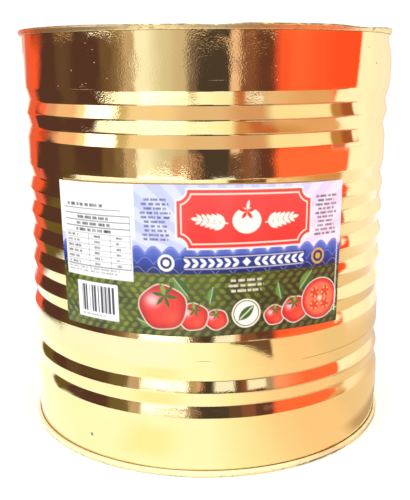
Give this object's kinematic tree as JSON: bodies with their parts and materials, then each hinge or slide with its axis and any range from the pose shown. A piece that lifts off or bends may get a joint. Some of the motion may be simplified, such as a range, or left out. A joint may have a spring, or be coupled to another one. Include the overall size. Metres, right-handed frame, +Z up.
{
  "type": "catering-size food tin",
  "caption": "Shut catering-size food tin: round beaded wall, a double-seamed end above and below, and a curved paper label wrapped over part of the front.",
  "frame": {"origin": "centre of the circle the tin stands on", "axes": "+Z up along the tin's axis, the label's face towards -Y, +X to the right of someone facing the label"},
  "size_m": [0.219, 0.219, 0.2322],
  "materials": {
    "lacquered_wall": "mirror-bright tinplate under a clear gold lacquer",
    "lacquered_end": "mirror-bright tinplate under a clear gold lacquer",
    "label_paper": "glossy printed paper"
  },
  "bodies": {
    "root": {"can_body": "lacquered_wall", "top_end": "lacquered_end", "bottom_end": "lacquered_end", "label": "label_paper"}
  },
  "joints": []
}
